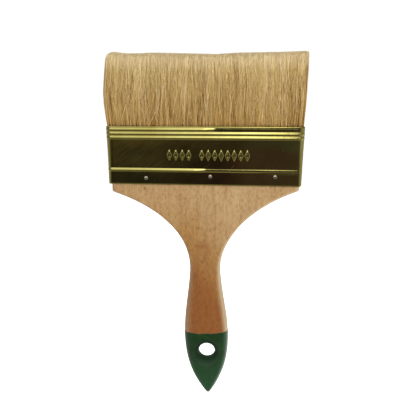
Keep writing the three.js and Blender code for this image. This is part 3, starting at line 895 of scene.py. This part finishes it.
def outer_roots(count):
    """Places near the rim of the section, and how far each strand is drawn into its tuft at the root."""
    half, thick = float(bristle_half(178.0, 1)), float(bristle_thick(178.0))
    ring = section_ring(0, half, thick, BRISTLE_EDGE, BRISTLE_EDGE, steps=(80, 10, 6))[:, :2]
    loop = np.vstack([ring, ring[:1]])
    steps = np.linalg.norm(np.diff(loop, axis=0), axis=1)
    walked = np.concatenate([[0], np.cumsum(steps)])
    place = RNG.uniform(0, walked[-1], count)
    here, ahead, behind = (
        np.column_stack([np.interp((place + step) % walked[-1], walked, loop[:, axis]) for axis in (0, 1)])
        for step in (0, 0.4, -0.4))
    run = ahead - behind
    run /= np.linalg.norm(run, axis=1, keepdims=True)
    inward = np.column_stack([-run[:, 1], run[:, 0]])
    depth = np.clip(RNG.exponential(0.8, count), 0, 2.8)
    pull = np.zeros((count, 2))
    tones = RNG.beta(1.0, 0.85, int(walked[-1] / LOCK_WIDTH) + 1)[(place / LOCK_WIDTH).astype(int)]
    for pitch, strength, valley in ((5.2, 0.30, 0.85), (1.7, 0.30, 0.45)):
        edges = np.cumsum(RNG.uniform(0.2, 1.8, int(walked[-1] / pitch) + 30)) * pitch
        tuft = np.minimum(np.searchsorted(edges, place), len(edges) - 1)
        low = np.where(tuft > 0, edges[np.maximum(tuft - 1, 0)], 0)
        high = edges[tuft]
        middle = (low + high) / 2
        offset = (place - middle) / np.maximum((high - low) / 2, 0.1)
        sunk = np.abs(RNG.normal(0, 0.28, len(edges)))[tuft]
        amount = RNG.uniform(0.0, 1.1, len(edges))[tuft]
        pull += run * ((middle - place) * strength * amount)[:, None]
        pull += inward * (valley * amount * offset ** 4 + sunk)[:, None]
    here = here + inward * depth[:, None]
    return np.stack([here[:, 0] / half, here[:, 1] / thick]), pull, tones


def core_rings(low_share, high_share):
    """Rings of a bank's packed middle, between two shares of the thickness."""
    rings = []
    for z in CORE_HEIGHTS:
        sunk = 1.0 if z < 176 else CORE_INSET
        half = float(bristle_half(z, 1)) - sunk
        thick = float(bristle_thick(z)) - sunk * 0.8
        if z < 167:
            half, thick = CORE_SOCKET
        low, high = low_share * thick, high_share * thick
        rings.append(section_ring(z, half, (high - low) / 2, 0.8, 0.8, CORE_STEPS, (low + high) / 2))
    top = rings[-1]
    top[:, 2] = trim_height(top[:, 0] / half, top[:, 1] / thick) - CORE_BELOW_TRIM
    return turned_on_head(np.array(rings))


def make_bristle():
    """Three banks, each of a packed core, long strands round the rim and short tips over the core."""
    strand = strand_material()
    packed = core_material()
    outer, pull, tones = outer_roots(LONG_COUNT)
    inner = RNG.uniform(-1, 1, (2, TIP_COUNT))
    inner = np.stack([inner[0] * 0.99, np.sign(inner[1]) * np.abs(inner[1]) ** 0.7 * 0.95])
    banks = {"front": (-1.2, -0.34), "middle": (-0.34, 0.34), "rear": (0.34, 1.2)}
    for bank, (low, high) in banks.items():
        node = f"bristle_{bank}"
        core = closed_loft(f"{node}_core", core_rings(max(low, -1) + 0.02, min(high, 1) - 0.02),
                           strip_cap(CORE_STEPS))
        keep(core, packed, "bristle", node)
        chosen = (outer[1] >= low) & (outer[1] < high)
        strands = strand_mesh(f"{node}_strands", outer[:, chosen], pull[chosen], tones[chosen], LONG)
        keep(strands, strand, "bristle", node)
        chosen = (inner[1] >= low) & (inner[1] < high)
        still = np.zeros((int(chosen.sum()), 2))
        tips = strand_mesh(f"{node}_tips", inner[:, chosen], still, RNG.random(len(still)), TIPS)
        keep(tips, strand, "bristle", node)


# ---- stage, light and camera ----------------------------------------------------------------

FLOOR_DROP = 25                     # millimetres below the brush
FLOOR_HALF = 4000.0

# lights and camera, in metres, watts and degrees
LIGHT_TARGET = (0, 0, 0.12)
LIGHTS = [                          # name, place, side of the square, power
    ("key", (0.5, -0.75, 0.65), 0.5, 6.5), ("fill", (-0.7, -0.6, 0.25), 0.9, 2),
    ("rear", (-0.3, 0.9, 0.6), 0.8, 8)]
SOFT_LIGHT = 0.55
BACKDROP_LIGHT = 1.05
CAMERA_TARGET = (0.00174, 0.0, 0.11504)
CAMERA_DISTANCE = 0.4654
CAMERA_ANGLES = (9.7, 2.97, -0.43)  # downwards, from the right, and rolled
CAMERA_LENS = 52.1                  # millimetres


def make_stage():
    """A plain pale floor under the brush; gloss looks past it to the studio's own dark and bright sides."""
    low_z = CAD_BOUNDS[0][2] / MM - FLOOR_DROP
    corners = [(x * FLOOR_HALF, y * FLOOR_HALF, low_z) for x, y in ((-1, -1), (1, -1), (1, 1), (-1, 1))]
    floor = new_piece("pale_floor", corners, [[0, 1, 2, 3]])
    n = Surface("pale_floor")
    soft = n.noise(n.place(), 4, 2, 0.5)
    n.link(n.mix(soft, (0.93, 0.93, 0.93, 1), (0.96, 0.96, 0.955, 1)), n.shader.inputs["Base Color"])
    n.set(Roughness=0.9, Specular_IOR_Level=0.1, Emission_Color=(1, 1, 1, 1), Emission_Strength=0.55)
    floor.data.materials.append(n.material)
    floor.visible_glossy = False


def front_patches(n, here, z):
    """What the ferrule's front mirrors: one band in its panel and a darker one below the lowest bead."""
    across = n.span(n.axis(here, "X"), -0.3, 0.2)
    upper = n.ramp(across, [
        (0.0, (0.078, 0.066, 0.052, 1)), (0.28, (0.084, 0.068, 0.052, 1)), (0.45, (0.046, 0.036, 0.030, 1)),
        (0.56, (0.030, 0.021, 0.021, 1)), (0.68, (0.050, 0.048, 0.048, 1)), (1.0, (0.056, 0.060, 0.066, 1))])
    lower = n.ramp(across, [
        (0.0, (0.027, 0.028, 0.031, 1)), (0.30, (0.019, 0.018, 0.021, 1)), (0.42, (0.022, 0.017, 0.019, 1)),
        (0.52, (0.018, 0.010, 0.014, 1)), (0.64, (0.044, 0.027, 0.032, 1)), (1.0, (0.070, 0.054, 0.066, 1))])
    cloud = n.noise(here, 14, 3, 0.6, 0.5)
    ragged = n.math("ADD", z, n.span(cloud, 0.3, 0.7, -0.02, 0.02))
    patches = n.mix(n.span(ragged, -0.09, -0.065), lower, upper)
    return n.mix(n.span(cloud, 0.5, 0.7, 0.0, 0.5), patches, (0.028, 0.022, 0.021, 1))


def studio_room(n):
    """What gloss sees: a dark room under a bright ceiling, with softly lit sides and a table behind."""
    here = n.tree.nodes.new("ShaderNodeTexCoord").outputs["Generated"]
    x, y, z = (n.axis(here, name) for name in "XYZ")
    behind = n.span(y, -0.1, 0.4, 0.0, 0.42)
    lift = n.span(n.math("SUBTRACT", z, behind), -1.0, 1.0)
    room = n.ramp(lift, [
        (0.0, (0.15, 0.14, 0.12, 1)), (0.28, (0.20, 0.19, 0.15, 1)), (0.38, (0.06, 0.05, 0.035, 1)),
        (0.46, (0.030, 0.024, 0.019, 1)), (0.585, (0.035, 0.029, 0.023, 1)), (0.66, (1, 1, 1, 1)),
        (1.0, (0.85, 0.86, 0.9, 1))])
    ceiling = n.ramp(n.span(x, -0.25, 0.15), [
        (0.0, 1.0), (0.25, 1.1), (0.56, 1.6), (0.66, 2.4), (0.83, 2.4), (0.88, 1.0), (1.0, 0.6)])
    ceiling = n.mix(n.span(y, -0.40, 0.02), ceiling, (0.3, 0.3, 0.3, 1))
    room = n.mix(n.span(z, 0.15, 0.3), room, n.mix(1.0, room, ceiling, "MULTIPLY"))
    level = n.math("MULTIPLY", n.span(z, -0.34, -0.22), n.span(z, 0.2, 0.12))
    ahead = n.math("MULTIPLY", level, n.span(y, -0.6, -0.85))
    room = n.mix(ahead, room, front_patches(n, here, z))
    glow = n.math("ADD", n.span(x, 0.45, 0.95, 0.0, 0.6), n.span(x, -0.45, -0.95, 0.0, 0.45))
    side = n.math("MULTIPLY", glow, n.span(z, 0.2, 0.0))
    room = n.mix(side, room, (0.48, 0.47, 0.44, 1))
    beyond = n.math("MULTIPLY", n.span(y, 0.05, 0.35), n.span(z, -0.15, -0.30))
    table = n.ramp(n.span(x, -1, 1), [(0.0, 0.5), (0.4, 0.3), (0.7, 0.9), (1.0, 1.5)])
    return n.mix(beyond, room, table)


def make_world():
    """White behind the object, soft white light on it, and the studio room for gloss."""
    world = bpy.data.worlds.new("studio")
    bpy.context.scene.world = world
    n = Nodes(world)
    new = n.tree.nodes.new
    gloss, soft, seen = (new("ShaderNodeBackground") for _ in range(3))
    n.link(studio_room(n), gloss.inputs["Color"])
    for background, strength in ((soft, SOFT_LIGHT), (seen, BACKDROP_LIGHT)):
        background.inputs["Color"].default_value = (1, 1, 1, 1)
        background.inputs["Strength"].default_value = strength
    rays = new("ShaderNodeLightPath")
    first = new("ShaderNodeMixShader")
    second = new("ShaderNodeMixShader")
    n.link(rays.outputs["Is Glossy Ray"], first.inputs[0])
    n.link(soft.outputs[0], first.inputs[1])
    n.link(gloss.outputs[0], first.inputs[2])
    n.link(rays.outputs["Is Camera Ray"], second.inputs[0])
    n.link(first.outputs[0], second.inputs[1])
    n.link(seen.outputs[0], second.inputs[2])
    n.link(second.outputs[0], new("ShaderNodeOutputWorld").inputs[0])


def make_light(name, place, size, power):
    """A square soft light aimed at the ferrule; gloss doesn't see it."""
    data = bpy.data.lights.new(name, "AREA")
    data.size = size
    data.energy = power
    light = bpy.data.objects.new(name, data)
    light.location = place
    aim = Vector(LIGHT_TARGET) - Vector(place)
    light.rotation_euler = aim.to_track_quat("-Z", "Y").to_euler()
    light.visible_glossy = False
    bpy.context.scene.collection.objects.link(light)


def make_camera():
    """The photographer's view: looking down on the brush, and a little from the right."""
    data = bpy.data.cameras.new("camera")
    camera = bpy.data.objects.new("camera", data)
    bpy.context.scene.collection.objects.link(camera)
    data.sensor_width = 36
    data.lens = CAMERA_LENS
    data.clip_start = 0.01
    pitch, yaw, roll = (math.radians(angle) for angle in CAMERA_ANGLES)
    back = Vector((math.sin(yaw) * math.cos(pitch), -math.cos(yaw) * math.cos(pitch), math.sin(pitch)))
    across = Vector((0, 0, 1)).cross(back).normalized()
    up = back.cross(across)
    right = across * math.cos(roll) + up * math.sin(roll)
    camera.matrix_world = Matrix.Translation(
        Vector(CAMERA_TARGET) + back * CAMERA_DISTANCE) @ Matrix(
        (right, back.cross(right), back)).transposed().to_4x4()
    bpy.context.scene.camera = camera


def main():
    """Builds the studio and every piece; the resin and the spacers keep their CAD meshes."""
    make_camera()
    make_world()
    make_stage()
    for name, place, size, power in LIGHTS:
        make_light(name, place, size, power)
    bpy.context.scene.view_settings.view_transform = "Standard"

    keep(make_handle(), wood_material(), "handle_wood", "handle")
    keep(make_dip_coat(), lacquer_material(), "dip_lacquer", "dip_coat")
    keep(make_ferrule(), brass_material(), "ferrule_metal", "ferrule")
    make_nails(steel_material())
    make_bristle()
    inner = {"bristle_setting": resin_material(), "spacer_front": spacer_material()}
    inner["spacer_rear"] = inner["spacer_front"]
    for node, material in inner.items():
        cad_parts[node].data.materials.clear()
        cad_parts[node].data.materials.append(material)


main()
